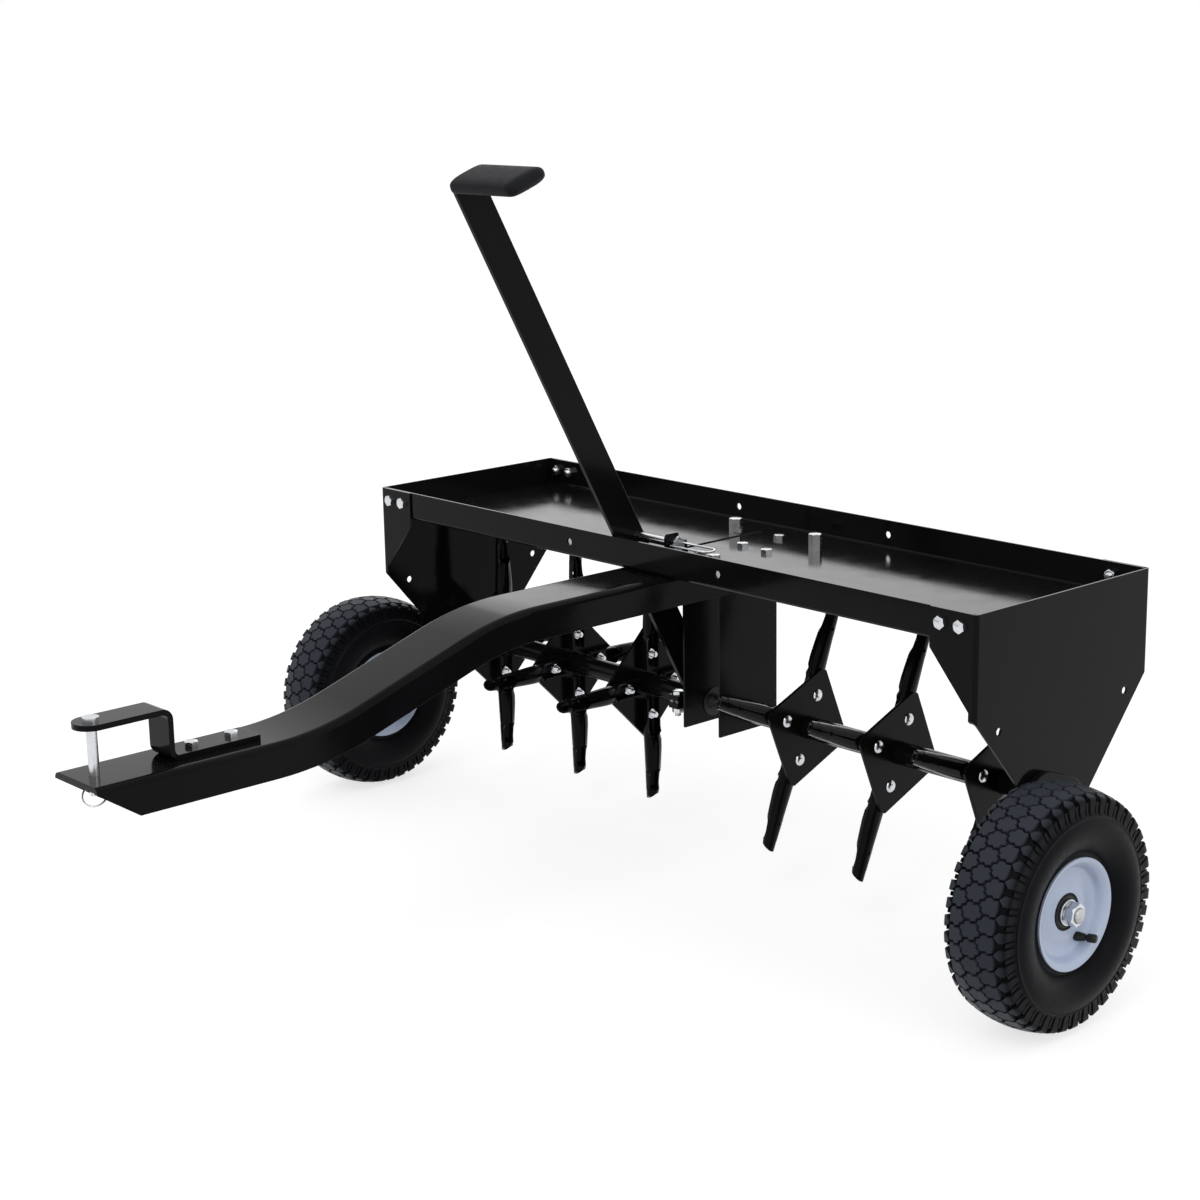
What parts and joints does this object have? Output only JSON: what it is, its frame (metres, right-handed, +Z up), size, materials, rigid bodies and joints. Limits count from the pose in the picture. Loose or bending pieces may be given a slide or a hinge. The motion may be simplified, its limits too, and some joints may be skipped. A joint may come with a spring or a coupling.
{
  "type": "tow behind aerator",
  "caption": "Towed lawn core aerator: sheet steel weight tray, S-bent tow bar with pin hitch, lift lever, cranked wheels and two gangs of coring tines on a cross shaft.",
  "frame": {"origin": "on the ground plane below the middle of the bounding box, at the machine's middle width", "axes": "+X across the machine towards its right wheel, -Y forward along the tow bar, +Z up; rest pose is the transport position with the wheels down and the lever leaning forward"},
  "size_m": [1.25, 1.0581, 0.8792],
  "materials": {
    "black_gloss_paint": "gloss powder coat",
    "black_paint": "semi-gloss powder coat",
    "bright_zinc": "bright zinc plating",
    "steel_bar": "drawn bar",
    "bush_plastic": "nylon",
    "tyre_rubber": "matte",
    "rim_paint": "satin pale blue-grey",
    "bearing_steel": "sealed",
    "valve_rubber": "matte",
    "grip_plastic": "fine texture"
  },
  "bodies": {
    "frame": {"tray": "black_gloss_paint", "end_plate_left": "black_gloss_paint", "end_plate_right": "black_gloss_paint", "hanger_left": "black_paint", "hanger_right": "black_paint", "tow_bar": "black_gloss_paint", "hitch_strap": "black_gloss_paint", "hitch_bolts": "bright_zinc", "hitch_nuts": "bright_zinc", "corner_bolts": "bright_zinc", "corner_nuts": "bright_zinc", "tray_bolts": "bright_zinc", "tray_nuts": "bright_zinc", "weight_posts": "bright_zinc", "lock_ears": "black_paint", "shaft_bushes": "bush_plastic"},
    "lift": {"cross_shaft": "steel_bar", "crank_left": "black_paint", "crank_right": "black_paint", "spindle_left": "steel_bar", "spindle_right": "steel_bar", "axle_washers": "bright_zinc", "axle_nuts": "bright_zinc", "lever": "black_gloss_paint", "lever_grip": "grip_plastic", "lever_collar": "black_paint", "collar_bolt": "bright_zinc"},
    "lock": {"lock_pin": "bright_zinc", "lock_pull": "bright_zinc"},
    "drop_pin": {"hitch_pin": "bright_zinc"},
    "ring_clip": {"hitch_clip": "bright_zinc"},
    "wheel_left": {"tyre_left": "tyre_rubber", "rim_outer_left": "rim_paint", "rim_inner_left": "rim_paint", "hub_left": "black_paint", "bearings_left": "bearing_steel", "valve_left": "valve_rubber"},
    "tines_left": {"spool_left": "black_paint", "spool_bushes_left": "bush_plastic", "tine_plates_left": "black_paint", "tines_left": "black_paint", "tine_bolts_left": "bright_zinc", "tine_nuts_left": "bright_zinc"},
    "wheel_right": {"tyre_right": "tyre_rubber", "rim_outer_right": "rim_paint", "rim_inner_right": "rim_paint", "hub_right": "black_paint", "bearings_right": "bearing_steel", "valve_right": "valve_rubber"},
    "tines_right": {"spool_right": "black_paint", "spool_bushes_right": "bush_plastic", "tine_plates_right": "black_paint", "tines_right": "black_paint", "tine_bolts_right": "bright_zinc", "tine_nuts_right": "bright_zinc"}
  },
  "joints": [
    {"name": "lift_lever", "type": "hinge", "parent": "frame", "child": "lift", "pos_m": [0, 0.374, 0.2], "axis": [-1, 0, 0], "range_deg": [0, 53]},
    {"name": "wheel_left_spin", "type": "hinge", "parent": "lift", "child": "wheel_left", "pos_m": [-0.581, 0.253, 0.13], "axis": [1, 0, 0], "continuous": true},
    {"name": "wheel_right_spin", "type": "hinge", "parent": "lift", "child": "wheel_right", "pos_m": [0.581, 0.253, 0.13], "axis": [1, 0, 0], "continuous": true},
    {"name": "tines_left_spin", "type": "hinge", "parent": "frame", "child": "tines_left", "pos_m": [-0.28, 0.374, 0.2], "axis": [1, 0, 0], "continuous": true},
    {"name": "tines_right_spin", "type": "hinge", "parent": "frame", "child": "tines_right", "pos_m": [0.28, 0.374, 0.2], "axis": [1, 0, 0], "continuous": true},
    {"name": "drop_pin_turn", "type": "hinge", "parent": "frame", "child": "drop_pin", "pos_m": [0, -0.508, 0.34], "axis": [0, 0, 1], "continuous": true},
    {"name": "ring_clip_swing", "type": "hinge", "parent": "drop_pin", "child": "ring_clip", "pos_m": [0, -0.508, 0.301], "axis": [0.6691, 0.7431, 0], "range_deg": [-45, 90]},
    {"name": "lock_pin_pull", "type": "slide", "parent": "lift", "child": "lock", "axis": [1, 0, 0], "range_m": [0, 0.055]}
  ]
}
